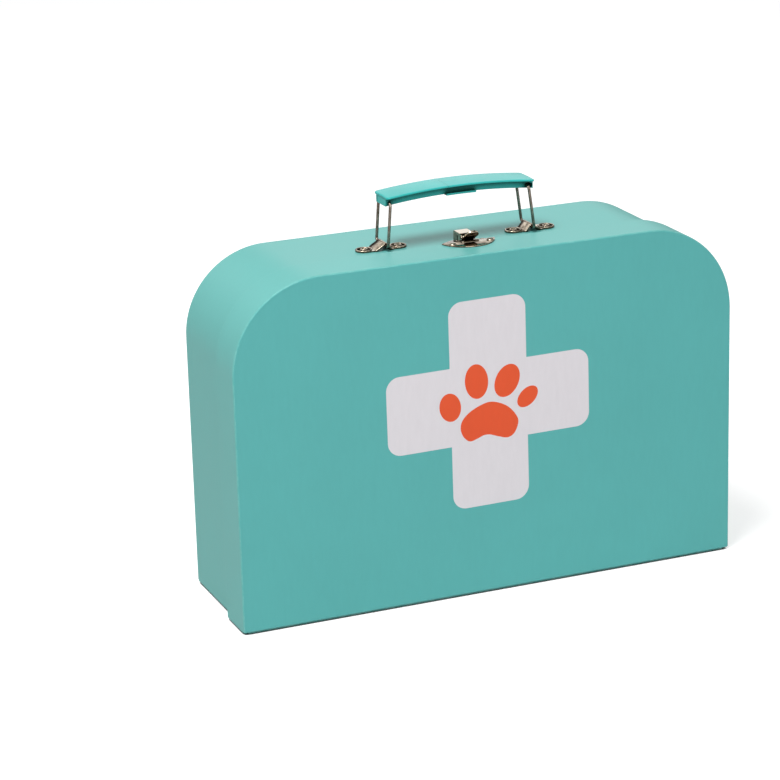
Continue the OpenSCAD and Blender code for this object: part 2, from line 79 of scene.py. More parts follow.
# Several closed surfaces gathered into one mesh. Each is turned to face outwards when it is added.
class shapeMaker:
    def __init__(self):
        self.points = []
        self.faces = []
        self.count = 0

    def add(self, points, faces):
        points = np.asarray(points, float).reshape(-1, 3)
        middle = points.mean(0)
        volume = 0.0
        for face in faces:
            p = points[face] - middle
            volume += np.sum(p[0] * np.cross(p[1:-1], p[2:]))
        if volume < 0:
            faces = [face[::-1] for face in faces]
        self.points.append(points)
        self.faces += [[v + self.count for v in face] for face in faces]
        self.count += len(points)

    # Quads between neighbouring rings, then a face over each end, or quads from the last ring to the first.
    def loft(self, rings, closed=False):
        rings = np.concatenate([rings, rings[:1]]) if closed else np.asarray(rings, float)
        count, width = rings.shape[:2]
        i, j = np.meshgrid(np.arange(count - 1), np.arange(width), indexing="ij")
        k = (j + 1) % width
        quads = np.stack([i * width + j, i * width + k, (i + 1) * width + k, (i + 1) * width + j], -1)
        faces = quads.reshape(-1, 4).tolist()
        if not closed:
            last = (count - 1) * width
            faces += [list(range(width))[::-1], [last + v for v in range(width)]]
        self.add(rings, faces)

    # A profile of (radius, height) turned round a line through origin; axis is a unit vector.
    def lathe(self, profile, origin, axis, steps):
        axis = np.asarray(axis, float)
        side = np.cross(axis, [0.0, 1.0, 0.0] if abs(axis[1]) < 0.9 else [1.0, 0.0, 0.0])
        side = side / np.linalg.norm(side)
        turn = np.linspace(0, 2 * np.pi, steps, endpoint=False)[:, None]
        circle = np.cos(turn) * side + np.sin(turn) * np.cross(axis, side)
        self.loft([np.asarray(origin, float) + axis * h + circle * r for r, h in profile])

    # A flat plate with holes: outer and holes are loops of points (u, v), put in place by place(loop, depth).
    def plate(self, outer, holes, place, depth0, depth1):
        loops = [np.asarray(loop, float) for loop in [outer, *holes]]
        triangles = tessellate_polygon([[Vector((u, v, 0.0)) for u, v in loop] for loop in loops])
        faces = [list(t) for t in triangles]
        flat = np.concatenate(loops)
        count = len(flat)
        if sum(doubleArea(flat[t]) for t in faces) < 0:
            faces = [t[::-1] for t in faces]
        whole = [t[::-1] for t in faces] + [[v + count for v in t] for t in faces]
        start = 0
        for index, loop in enumerate(loops):
            size = len(loop)
            forward = (doubleArea(loop) > 0) == (index == 0)
            for j in range(size):
                a, b = start + j, start + (j + 1) % size
                a, b = (a, b) if forward else (b, a)
                whole.append([a, b, b + count, a + count])
            start += size
        self.add(np.concatenate([place(flat, depth0), place(flat, depth1)]), whole)

    # Merges points that lie together, drops the faces that this leaves without an area, and makes the piece.
    def build(self, name, look, body, stands, smooth=making["smooth"], bevel=0.0):
        points = np.concatenate(self.points)
        key, back = np.unique(np.round(points / making["merge"]).astype(np.int64), axis=0,
                              return_inverse=True)
        back = np.asarray(back).reshape(-1)
        merged = np.zeros((len(key), 3))
        merged[back] = points
        faces = []
        for face in self.faces:
            ring = [int(back[v]) for v in face]
            kept = [v for v, after in zip(ring, ring[1:] + ring[:1]) if v != after]
            if len(set(kept)) > 2:
                faces.append(kept)
        mesh = bpy.data.meshes.new(name)
        mesh.from_pydata((merged * mm).tolist(), [], faces)
        mesh.validate()
        mesh.materials.append(looks[look])
        mesh.shade_smooth()
        mesh.set_sharp_from_angle(angle=np.radians(smooth))
        markEdges(mesh)
        piece = addObject(name, mesh)
        if body:
            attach(piece, body)
        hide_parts(*stands)
        if bevel:
            rounding = piece.modifiers.new("rounding", "BEVEL")
            rounding.width = bevel * mm
            rounding.segments = 2
            rounding.limit_method = "ANGLE"
            rounding.angle_limit = np.radians(making["bevelAngle"])
        return piece


# A rounded edge, from the face to the side: (how far in from the side, how far back from the face).
def roundedEdge(radius):
    t = np.linspace(0, np.pi / 2, 5)
    return list(zip(radius * (1 - np.sin(t)), radius * (1 - np.cos(t))))


# Flat loops of (u, v) stood upright at y, sideways at x, or laid level at z.
def upright(loop, y):
    return np.insert(loop, 1, y, 1)


def sideways(loop, x):
    return np.insert(loop, 0, x, 1)


def level(loop, z):
    return np.insert(loop, 2, z, 1)


# Points round a centre: radius times the cosine and sine of angles from start to end, in degrees.
def arcPoints(centre, radius, start, end, steps):
    t = np.radians(np.linspace(start, end, steps + 1))
    return np.asarray(centre, float) + radius * np.stack([np.cos(t), np.sin(t)], -1)


# A loop with round corners: a quarter of a circle round each corner of a rectangle, anticlockwise from
# its upper right one.
def roundedLoop(x0, x1, z0, z1, radius, steps):
    centres = ((x1, z1), (x0, z1), (x0, z0), (x1, z0))
    return np.concatenate([arcPoints(centre, radius, 90 * i, 90 * i + 90, steps)
                           for i, centre in enumerate(centres)])


# The other half of an outline: the points turned over at x = 0, in the opposite order.
def mirrored(points):
    return points[::-1] * [-1, 1]


# Twice the area inside a loop, below zero where it runs clockwise.
def doubleArea(loop):
    return np.sum(loop[:, 0] * np.roll(loop[:, 1], -1) - np.roll(loop[:, 0], -1) * loop[:, 1])


# Moves a closed loop inwards by distance, along the mean of the normals of the two sides at each point.
def inwards(loop, distance):
    before = loop - np.roll(loop, 1, 0)
    after = np.roll(loop, -1, 0) - loop
    before /= np.linalg.norm(before, axis=1)[:, None]
    after /= np.linalg.norm(after, axis=1)[:, None]
    mean = before + after
    mean /= np.linalg.norm(mean, axis=1)[:, None]
    normal = np.stack([-mean[:, 1], mean[:, 0]], -1) * (1 if doubleArea(loop) > 0 else -1)
    across = np.maximum(np.abs(mean[:, 0] * after[:, 0] + mean[:, 1] * after[:, 1]), 0.5)
    return loop + normal * (distance / across)[:, None]


# Ways to add nodes to a tree. An input is a plain value or another node's socket, and what comes back is
# the socket that the new node puts out.
class nodeMaker:
    def __init__(self, tree):
        self.tree = tree

    def fill(self, node, inputs):
        for label, value in inputs.items():
            if isinstance(value, bpy.types.NodeSocket):
                self.tree.links.new(value, node.inputs[label])
            else:
                node.inputs[label].default_value = value
        return node

    def new(self, kind, inputs):
        return self.fill(self.tree.nodes.new("ShaderNode" + kind), inputs)

    def coords(self, kind="Object"):
        return self.new("TexCoord", {}).outputs[kind]

    def stretched(self, vector, scale):
        return self.new("Mapping", {"Vector": vector, "Scale": scale}).outputs[0]

    def noise(self, vector, scale, detail, roughness=0.5):
        inputs = {"Vector": vector, "Scale": scale, "Detail": detail, "Roughness": roughness}
        return self.new("TexNoise", inputs).outputs["Fac"]

    def math(self, kind, a, b, clamp=False):
        node = self.new("Math", {0: a, 1: b})
        node.operation = kind
        node.use_clamp = clamp
        return node.outputs[0]

    def plus(self, a, b):
        return self.math("ADD", a, b)

    def times(self, a, b):
        return self.math("MULTIPLY", a, b)

    def ramp(self, value, low, high, outLow=0.0, outHigh=1.0):
        inputs = {"Value": value, "From Min": low, "From Max": high, "To Min": outLow, "To Max": outHigh}
        return self.new("MapRange", inputs).outputs["Result"]

    def mix(self, factor, a, b):
        node = self.tree.nodes.new("ShaderNodeMix")
        node.data_type = "RGBA"
        return self.fill(node, {0: factor, 6: a, 7: b}).outputs[2]

    def scaled(self, color, factor):
        node = self.tree.nodes.new("ShaderNodeVectorMath")
        node.operation = "SCALE"
        return self.fill(node, {0: color, "Scale": factor}).outputs[0]

    def edgeMark(self):
        node = self.new("Attribute", {})
        node.attribute_name = "edgeMark"
        return node.outputs["Fac"]

    # How open a place is: 1 in the open, less where other surfaces stand within the distance.
    def nearness(self, distance):
        node = self.new("AmbientOcclusion", {"Distance": distance})
        node.samples = 8
        return node.outputs["AO"]


# A group with the inputs given, that puts out Color, Roughness, Height and what else is named.
def newGroup(name, inputs, *more):
    group = bpy.data.node_groups.new(name, "ShaderNodeTree")
    kinds = ("NodeSocketFloat", "NodeSocketColor")
    for label, value in inputs.items():
        kind = kinds[isinstance(value, tuple)]
        group.interface.new_socket(name=label, in_out="INPUT", socket_type=kind).default_value = value
    for label in ("Color", "Roughness", "Height", *more):
        group.interface.new_socket(name=label, in_out="OUTPUT", socket_type=kinds[label == "Color"])
    return nodeMaker(group), group.nodes.new("NodeGroupInput").outputs, group.nodes.new("NodeGroupOutput")


# Paper: slow mottling of the print, short fibres, a fine tooth, and edges rubbed paler in patches.
def paperGroup():
    maker, given, outlet = newGroup("paperFinish", {
        "Color": (0.5, 0.5, 0.5, 1), "Worn": (0.8, 0.8, 0.8, 1), "Mottle": 0.05, "Fibre": 0.04,
        "Tooth": 900.0, "Rub": 0.35, "Roughness": 0.45})
    coords = maker.coords()
    slow = maker.noise(coords, 14.0, 4.0)
    fibre = maker.noise(maker.stretched(coords, (1.0, 1.0, 0.25)), 420.0, 3.0, 0.6)
    tooth = maker.noise(coords, given["Tooth"], 2.0, 0.6)
    patches = maker.noise(coords, 160.0, 4.0, 0.65)
    change = maker.plus(maker.times(maker.plus(slow, -0.5), given["Mottle"]),
                        maker.times(maker.plus(fibre, -0.5), given["Fibre"]))
    plain = maker.scaled(given["Color"], maker.plus(maker.times(change, 2.0), 1.0))
    rubbed = maker.times(maker.ramp(maker.edgeMark(), 0.0, 0.06), maker.ramp(patches, 0.42, 0.62))
    rubbed = maker.math("MULTIPLY", rubbed, given["Rub"], clamp=True)
    rough = maker.plus(given["Roughness"], maker.times(change, 1.6))
    maker.fill(outlet, {"Color": maker.mix(rubbed, plain, given["Worn"]),
                        "Roughness": maker.plus(rough, maker.times(rubbed, 0.3)),
                        "Height": maker.plus(tooth, maker.times(fibre, 0.6))})
    return maker.tree


# Plated metal: a cloud of darker patches, painted reflections of dark surroundings, kept off its edges so
# that they stay brighter, painted shade in its folds, faint rubbed lines and small dull spots.
def metalGroup():
    maker, given, outlet = newGroup("platedMetal", {
        "Color": (0.6, 0.6, 0.6, 1), "Shade": (0.3, 0.25, 0.2, 1), "Roughness": 0.2, "Cloud": 300.0,
        "ShadeReach": 0.005})
    coords = maker.coords()
    cloud = maker.noise(coords, given["Cloud"], 3.0, 0.6)
    lines = maker.noise(maker.stretched(coords, (0.08, 1.0, 1.0)), 1500.0, 2.0)
    spots = maker.noise(coords, 2600.0, 2.0)
    bright = maker.ramp(maker.edgeMark(), 0.01, 0.12, 0.0, 0.6)
    tone = maker.math("SUBTRACT", maker.ramp(cloud, 0.35, 0.7), bright, clamp=True)
    # The Shade colour, mixed in by the cloud, is painted reflection of dark surroundings.
    plain = maker.mix(tone, given["Color"], given["Shade"])
    # Painted shade in folds and hollows: where other surfaces stand within the given reach, the colour goes
    # towards the dark brown below.
    unshaded = maker.ramp(maker.nearness(given["ShadeReach"]), 0.5, 0.95)
    dull = maker.plus(given["Roughness"], maker.ramp(spots, 0.62, 0.75, 0.0, 0.18))
    maker.fill(outlet, {"Color": maker.mix(unshaded, (0.07, 0.05, 0.03, 1), plain), "Height": lines,
                        "Roughness": maker.plus(dull, maker.ramp(lines, 0.3, 0.7, -0.04, 0.06))})
    return maker.tree


# Moulded plastic: a slight swirl in the colour, painted shade in its hollows, and the fine grain of the
# mould.
def plasticGroup():
    maker, given, outlet = newGroup("mouldedPlastic", {
        "Color": (0.5, 0.5, 0.5, 1), "HollowShade": (0.1, 0.1, 0.1, 1), "Roughness": 0.3}, "Coat")
    coords = maker.coords()
    swirl = maker.noise(coords, 45.0, 3.0)
    grain = maker.noise(coords, 2200.0, 2.0)
    scuff = maker.noise(maker.stretched(coords, (0.15, 1.0, 1.0)), 600.0, 3.0)
    plain = maker.scaled(given["Color"], maker.ramp(swirl, 0.3, 0.7, 0.94, 1.05))
    # Painted shade: near other surfaces the colour goes to the dark hollow colour, and the coat thins.
    unshaded = maker.ramp(maker.nearness(0.008), 0.6, 0.92)
    rough = maker.plus(given["Roughness"], maker.ramp(grain, 0.3, 0.7, -0.04, 0.06))
    maker.fill(outlet, {"Color": maker.mix(unshaded, given["HollowShade"], plain), "Coat": maker.times(unshaded, 0.3),
                        "Roughness": maker.plus(rough, maker.ramp(scuff, 0.6, 0.8, 0.0, 0.12)),
                        "Height": grain})
    return maker.tree


groups = {"paper": paperGroup(), "metal": metalGroup(), "plastic": plasticGroup()}


# A material: the shader's own fixed values, and what the group of its kind puts out for the settings. The
# relief is the bump's strength and its distance in metres.
def makeMaterial(name, kind, settings, fixed, relief):
    material = bpy.data.materials.new(name)
    material.use_nodes = True
    maker = nodeMaker(material.node_tree)
    finish = maker.tree.nodes.new("ShaderNodeGroup")
    finish.node_tree = groups[kind]
    found = maker.fill(finish, settings).outputs
    strength, distance = relief
    bump = maker.new("Bump", {"Strength": strength, "Distance": distance, "Height": found["Height"]})
    coat = {"Coat Weight": found["Coat"]} if "Coat" in found else {}
    maker.fill(maker.tree.nodes["Principled BSDF"], {
        "Base Color": found["Color"], "Roughness": found["Roughness"], "Normal": bump.outputs["Normal"],
        **coat, **fixed})
    return material


wornTeal = (0.36, 0.62, 0.58, 1)
finishes = {
    # tealWrap and tealSheet are one teal paper: tealWrap's red is raised as painted sheen, in place of the
    # haze its lower specular takes away, so the top and sides get a paler, lit copy of the front's teal.
    "tealWrap": ("paper", {"Color": (0.118, 0.405, 0.378, 1), "Worn": wornTeal, "Roughness": 0.42},
                 {"Specular IOR Level": 0.3}, (0.14, 0.0002)),
    "tealSheet": ("paper", {"Color": (0.080, 0.385, 0.372, 1), "Worn": wornTeal, "Roughness": 0.44}, {},
                  (0.12, 0.0002)),
    "whitePrint": ("paper", {"Color": (0.66, 0.63, 0.66, 1), "Roughness": 0.5, "Mottle": 0.02, "Rub": 0.0},
                   {}, (0.10, 0.0002)),
    "orangePrint": ("paper", {"Color": (0.71, 0.083, 0.022, 1), "Roughness": 0.5, "Rub": 0.0},
                    {"Specular IOR Level": 0.3}, (0.10, 0.0002)),
    "liningPaper": ("paper", {"Color": (0.72, 0.70, 0.64, 1), "Roughness": 0.75, "Fibre": 0.08}, {},
                    (0.2, 0.0003)),
    "hingeCloth": ("paper", {"Color": (0.085, 0.33, 0.31, 1), "Worn": wornTeal, "Roughness": 0.6,
                             "Tooth": 1600.0}, {}, (0.25, 0.0003)),
    "nickel": ("metal", {"Color": (0.52, 0.445, 0.35, 1), "Shade": (0.16, 0.12, 0.08, 1), "Roughness": 0.1},
               {"Metallic": 1.0}, (0.05, 0.0001)),
    "wireNickel": ("metal", {"Color": (0.32, 0.27, 0.225, 1), "Shade": (0.13, 0.10, 0.08, 1),
                             "ShadeReach": 0.001, "Roughness": 0.18}, {"Metallic": 1.0}, (0.05, 0.0001)),
    "gripPlastic": ("plastic", {"Color": (0.030, 0.41, 0.385, 1), "HollowShade": (0.0, 0.055, 0.045, 1),
                                "Roughness": 0.34},
                    {"Specular IOR Level": 0.12, "Coat Roughness": 0.2}, (0.03, 0.00005)),
}
looks = {name: makeMaterial(name, *values) for name, values in finishes.items()}
print("materials:", len(looks))

case = {
    "width": 300.0, "height": 198.1, "front": -44.2, "back": 44.2, "seam": -16.6,
    "corner": 51.2, "foot": 0.8, "lift": 1.2, "board": 1.7, "sheet": 0.3,
    "trayWidth": 293.3, "trayHeight": 195.6, "trayCorner": 48.275,
    "collar": 10.0,          # how far the tray runs into the lid
    "collarFoot": 2.8,       # height over which it does
    "notch": 33.0, "notchEdge": -16.2,
    "edge": 0.6,             # rounding of the wrapped edges
    "rim": 0.45,             # rounding of the open rims
    "cornerSteps": 28,
    "footRows": (0.3, 0.7),  # rows close over the foot, that keep the wear on its edge
    "turnIn": 0.1,           # flat part beside each rounding
}
lidSize = (case["width"], case["height"], case["corner"])
traySize = (case["trayWidth"], case["trayHeight"], case["trayCorner"])
sheetBack = case["front"] + case["sheet"]
boardBack = sheetBack + case["board"]


# The case's outline, from its bottom left corner up and over to the bottom right: straight sides, round
# top corners. Drawn in by inset, corners included.
def archPath(width, height, corner, inset=0.0, bottom=case["lift"]):
    half = width / 2 - inset
    top = height - inset
    radius = corner - inset
    side = np.concatenate([[bottom], [bottom + row for row in case["footRows"]],
                           np.linspace(bottom, top - radius, 6)[1:-1]])
    flat = np.linspace(-(half - radius), half - radius, 13)[1:-1]
    left = np.stack([np.full_like(side, -half), side], -1)
    corner = arcPoints((radius - half, top - radius), radius, 180, 90, case["cornerSteps"])
    middle = np.stack([flat, np.full_like(flat, top)], -1)
    over = np.concatenate([left, corner])
    return np.concatenate([over, middle, mirrored(over)])


# The same outline closed along the bottom, whose corners have a small radius.
def archLoop(width, height, corner, inset):
    foot = max(case["foot"] - inset, 0.0)
    low = case["lift"] + inset
    over = archPath(width, height, corner, inset, low + foot)
    half = width / 2 - inset
    rightFoot = arcPoints((half - foot, low + foot), foot, 0, -90, 4)[1:]
    flat = np.linspace(half - foot, -(half - foot), 15)[1:-1]
    middle = np.stack([flat, np.full_like(flat, low)], -1)
    return np.concatenate([over, rightFoot, middle, mirrored(rightFoot)])


# A board: its outline carried from y0 to y1, with both edges rounded, closed by two flat faces that have
# a loop of half the size in them.
def boardPiece(name, size, y0, y1, round0, round1, body, stands):
    inner = 0.08
    steps = [(round0 + inner, y0)] + [(inset, y0 + d) for inset, d in roundedEdge(round0)]
    steps += [(inset, y1 - d) for inset, d in roundedEdge(round1)[::-1]] + [(round1 + inner, y1)]
    rings = [upright(archLoop(*size, inset), y) for inset, y in steps]
    halved = lambda ring: ring * [0.5, 1, 0.5] + [0, 0, size[1] * 0.25]
    shape = shapeMaker()
    shape.loft([halved(rings[0]), *rings, halved(rings[-1])])
    shape.build(name, "tealWrap", body, stands)


# A side wall: a rounded rectangle, board thick, carried along the arch. front gives the depth of its
# front rim, one for all or one for each place of the path.
def bandPiece(name, front, back, roundFront, roundBack, body, stands, path):
    thick, flat = case["board"], case["turnIn"]
    frontEdge = [(inset, d, 0) for inset, d in roundedEdge(roundFront)] + [(0.0, roundFront + flat, 0)]
    backEdge = [(inset, d, 1) for inset, d in roundedEdge(roundBack)] + [(0.0, roundBack + flat, 1)]
    outside = frontEdge + backEdge[::-1]
    columns = []
    for inset, d, end in outside + [(thick - inset, d, end) for inset, d, end in outside[::-1]]:
        outline = path(inset)
        rim = front(outline) if callable(front) else np.full(len(outline), float(front))
        y = np.full(len(outline), back - d) if end else rim + d
        columns.append(np.stack([outline[:, 0], y, outline[:, 1]], -1))
    shape = shapeMaker()
    shape.loft(np.stack(columns, 1))
    shape.build(name, "tealWrap", body, stands)


# The path of the tray's band: the arch, with rows of points that stand close on both sides of the place
# where the collar begins and of the notch's ends.
def trayOutline(inset):
    outline = archPath(*traySize, inset)
    lift, step, apart = case["lift"], case["collarFoot"], 0.05
    rows = 1 + len(case["footRows"])
    heights = (lift, *(lift + row for row in case["footRows"]), step - apart, step + apart)
    low = np.array([[outline[0, 0], z] for z in heights])
    half = case["notch"] / 2
    keep = outline[rows + 4:-rows - 4]
    left = keep[keep[:, 0] < -half - 0.2]
    ends = (-half - apart, -half + apart, 0, half - apart, half + apart)
    middle = np.array([[x, case["trayHeight"] - inset] for x in ends])
    side = np.concatenate([low, outline[rows:rows + 4]])
    return np.concatenate([side, left, middle, keep[keep[:, 0] > half + 0.2], mirrored(side)])


# Below the collar's foot the tray begins at the seam, above it inside the lid, but for the notch.
def trayFront(outline):
    rim = np.full(len(outline), case["seam"] - case["collar"])
    rim[outline[:, 1] < case["collarFoot"]] = case["seam"] + 0.1
    rim[(np.abs(outline[:, 0]) < case["notch"] / 2) & (outline[:, 1] > 100)] = case["notchEdge"]
    return rim


cross = {
    "width": 122.4, "height": 120.1, "armWidth": 46.3, "armHeight": 45.4, "round": 8.0,
    "place": (-1.0, 112.65), "tilt": 0.45,
}


def turned(loop, degrees):
    a = np.radians(degrees)
    return loop @ np.array([[np.cos(a), np.sin(a)], [-np.sin(a), np.cos(a)]])


# The cross: a quarter of it, with round corners on both arms, and the same quarter mirrored three times.
def crossLoop():
    a, b, r = cross["armWidth"] / 2, cross["armHeight"] / 2, cross["round"]
    w, h = cross["width"] / 2, cross["height"] / 2
    quad = np.concatenate([[[w, 0.0]], arcPoints((w - r, b - r), r, 0, 90, 12), [[a, b]],
                           arcPoints((a - r, h - r), r, 0, 90, 12), [[0.0, h]]])
    full = np.concatenate([quad, mirrored(quad)[1:], quad[1:] * [-1, -1], quad[::-1][1:-1] * [1, -1]])
    return turned(full, cross["tilt"]) + cross["place"]


# The front sheet: between the cross and the outline, point for point at the same angle round the cross.
def sheetPiece():
    inner = crossLoop()
    centre = np.array(cross["place"])
    outer = archLoop(*lidSize, 0.45)
    angle = lambda p: np.arctan2(*(p - centre).T[::-1])
    every = np.unique(np.round(np.concatenate([angle(inner), angle(outer)]), 6))

    # where the ray from the centre at each angle meets the loop
    def reach(loop):
        order = np.argsort(angle(loop))
        p = loop[np.concatenate([order[-1:], order, order[:1]])]
        a = angle(p)
        a[0] -= 2 * np.pi
        a[-1] += 2 * np.pi
        i = np.clip(np.searchsorted(a, every, side="right") - 1, 0, len(a) - 2)
        d = np.stack([np.cos(every), np.sin(every)], -1)
        e = p[i + 1] - p[i]
        q = p[i] - centre
        cut = (q[:, 0] * e[:, 1] - q[:, 1] * e[:, 0]) / (d[:, 0] * e[:, 1] - d[:, 1] * e[:, 0])
        return centre + d * cut[:, None]

    near, far = reach(inner), reach(outer)
    out = (far - centre) / np.linalg.norm(far - centre, axis=1)[:, None]
    front = case["front"]
    steps = [(near, sheetBack)] + [(near + out * d, front) for d in (0, 0.1, 0.2)]
    steps += [(far - out * d, front) for d in (0.5, 0.25, 0.15)]
    steps += [(far - out * 0.05, front + 0.06), (far, front + 0.16), (far, sheetBack)]
    shape = shapeMaker()
    shape.loft([upright(loop, y) for loop, y in steps], closed=True)
    shape.build("lidFrontSheet", "tealSheet", "lid", ["lid_front_sheet"])


# The paw: each toe is an ellipse (x, z, half length, half width, lean), and the pad a smooth closed curve.
paw = {
    "toes": [(-24.5, 112.85, 8.3, 6.4, 101), (-8.4, 125.65, 10.1, 7.0, 96), (10.1, 123.65, 9.8, 7.25, 64),
             (22.45, 112.55, 7.25, 4.9, 40.5)],
    "pad": [(16.6, 98.4), (15.3, 102.8), (10.9, 108.1), (5.0, 111.5), (-0.9, 112.8), (-6.8, 111.4),
            (-13.1, 108.3), (-17.3, 104.3), (-18.5, 99.6), (-16.9, 94.7), (-13.2, 91.5), (-9.0, 92.2),
            (-4.8, 93.7), (-0.9, 93.7), (4.6, 91.75), (9.9, 90.4), (14.2, 92.6)],
}


# A smooth closed curve through points: a cubic between each two, whose slope at a point is half of the
# way from the point before it to the one after.
def smoothLoop(points, steps):
    p = np.array(points, float)
    before, after, second = np.roll(p, 1, 0), np.roll(p, -1, 0), np.roll(p, -2, 0)
    t = np.linspace(0, 1, steps + 1)[:-1, None, None]
    curve = (2 * p + (after - before) * t + (2 * before - 5 * p + 4 * after - second) * t ** 2
             + (3 * p - before - 3 * after + second) * t ** 3) / 2
    return curve.transpose(1, 0, 2).reshape(-1, 2)


# The printed cross, cut out where the paw is printed, and the paw.
def printPieces():
    circle = arcPoints((0, 0), 1, 0, 360, 48)[:-1]
    loops = [turned(circle * [long, short], lean) + [x, z] for x, z, long, short, lean in paw["toes"]]
    loops.append(smoothLoop(paw["pad"], 6))
    shape = shapeMaker()
    shape.plate(crossLoop(), loops, upright, case["front"], sheetBack)
    shape.build("crossPrint", "whitePrint", "lid", ["lid_cross_print"])
    shape = shapeMaker()
    for loop in loops:
        shape.plate(loop, [], upright, case["front"], sheetBack)
    shape.build("pawPrint", "orangePrint", "lid", ["lid_paw_print"])


cloth = {"lidHalf": 147.0, "trayHalf": 143.65, "front": -42.2, "back": 42.5, "thick": 0.5, "fold": 0.7}


# The cloth under the case: one slab, wider under the lid, with close rows where the case folds.
def clothPiece():
    seam, fold = case["seam"], cloth["fold"]
    rows = np.concatenate([np.linspace(cloth["front"], seam - 2, 8), seam + np.linspace(-1.6, 1.6, 17),
                           np.linspace(seam + 2, cloth["back"], 12)])
    share = np.clip((rows - seam + fold) / (2 * fold), 0, 1)
    half = cloth["lidHalf"] + (cloth["trayHalf"] - cloth["lidHalf"]) * share
    across = np.concatenate([[-1.0], np.linspace(-0.998, 0.998, 25), [1.0]])
    thick = cloth["thick"]
    top = np.concatenate([[thick * 0.6], np.full(25, thick), [thick * 0.6]])
    low = np.concatenate([[thick * 0.4], np.zeros(25), [thick * 0.4]])
    loops = [np.concatenate([np.stack([across * w, top], -1), np.stack([across * w, low], -1)[::-1]])
             for w in half]
    shape = shapeMaker()
    shape.loft([upright(loop, y) for loop, y in zip(loops, rows)])
    piece = shape.build("hingeCloth", "hingeCloth", None, ["hinge_cloth_lid", "hinge_cloth_tray"])
    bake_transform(piece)


def buildCase():
    edge, rim, hidden = case["edge"], case["rim"], 0.05
    panel = case["back"] - case["board"]
    boardPiece("lidFrontBoard", lidSize, sheetBack, boardBack, edge, hidden, "lid", ["lid_front_panel"])
    boardPiece("trayBackBoard", traySize, panel, case["back"], hidden, edge + 0.2, "tray",
               ["tray_back_panel"])
    bandPiece("lidSideBand", boardBack, case["seam"] - 0.1, hidden, rim, "lid", ["lid_side_band"],
              lambda inset: archPath(*lidSize, inset))
    bandPiece("traySideBand", trayFront, panel, rim, hidden, "tray", ["tray_side_band"], trayOutline)
    sheetPiece()
    printPieces()
    clothPiece()


buildCase()
print("case done")

handle = {
    "bracket": 45.3, "foot": 44.3, "footHeight": 198.4, "ringLength": 24.75, "ringWidth": 17.2,
    "wire": 0.85, "bend": 2.0, "leftLean": 2.0, "rightLean": 3.2,
    "strapLength": 30.0, "strapWidth": 9.6, "strapThick": 0.8, "strapInner": 3.5,
    "rimWidth": 1.0, "rimBead": 0.4, "dish": 0.5,
    "saddleWidth": 11.0, "saddleWall": 0.8, "saddleHalf": 4.4, "play": 0.07,
    "rivet": 10.1, "sunk": 0.35,
}
eyelet = {
    "head": 2.3, "bead": 0.62, "beadHeight": 0.58, "hollow": 0.8, "depth": 0.6, "shaft": 1.5,
    "stack": 3.25, "tail": 0.6, "clinch": 2.3, "rounding": (0.1, 0.15),
}
strapTop = case["trayHeight"] + handle["strapThick"]


# A closed loop of wire: a circle carried round a rectangle with round corners, leaned by an angle
# about the bar at its foot.
def ringPiece(word, side, lean):
    half, length, bend = handle["ringWidth"] / 2, handle["ringLength"], handle["bend"]
    path = roundedLoop(bend - half, half - bend, bend, length - bend, bend, 10)
    step = np.roll(path, -1, 0) - np.roll(path, 1, 0)
    step /= np.linalg.norm(step, axis=1)[:, None]
    out = np.stack([step[:, 1], -step[:, 0]], -1)
    turn = np.linspace(0, 2 * np.pi, 20, endpoint=False)
    radius = handle["wire"]
    rings = np.zeros((len(path), 20, 3))
    rings[:, :, 0] = radius * np.sin(turn)
    rings[:, :, 1:] = path[:, None, :] + radius * np.cos(turn)[None, :, None] * out[:, None, :]
    angle = np.arcsin(lean / length) * -side
    x = rings[..., 0] * np.cos(angle) + rings[..., 2] * np.sin(angle) + side * handle["foot"]
    z = -rings[..., 0] * np.sin(angle) + rings[..., 2] * np.cos(angle) + handle["footHeight"]
    shape = shapeMaker()
    shape.loft(np.stack([x, rings[..., 1], z], -1), closed=True)
    shape.build("wireRing" + word.title(), "wireNickel", "ring_" + word, ["handle_ring_" + word])


# One end of a strap: a half round plate round a dish, with a bead turned round its rim.
def strapEnd(shape, middle, way):
    top, base = strapTop, case["trayHeight"]
    radius, rimWidth, inner = handle["strapWidth"] / 2, handle["rimWidth"], handle["strapInner"]
    end = (handle["strapLength"] - handle["strapWidth"]) / 2
    loop = np.concatenate([arcPoints((end, 0), radius, -90, 90, 24), [[inner, radius], [inner, -radius]]])
    loop = loop * [way, 1] + [middle, 0]
    dish = arcPoints((middle + way * end, 0), radius - rimWidth - 0.02, 0, 360, 36)[:-1]
    floor = top - handle["dish"]
    shape.plate(loop, [], level, base, floor)
    shape.plate(loop, [dish], level, floor - 0.05, top)
    rim = [(radius - rimWidth, top - 0.3), (radius - rimWidth, top + 0.1)]
    rim += [(radius - rimWidth / 2 - 0.48 * np.cos(t), top + 0.1 + handle["rimBead"] * np.sin(t))
            for t in np.linspace(0.15, np.pi - 0.15, 9)]
    rim += [(radius, top), (radius, top - 0.3)]
    centre = [middle + way * end, 0]
    shape.loft([level(arcPoints(centre, r, 0, 360, 48)[:-1], z) for r, z in rim], closed=True)


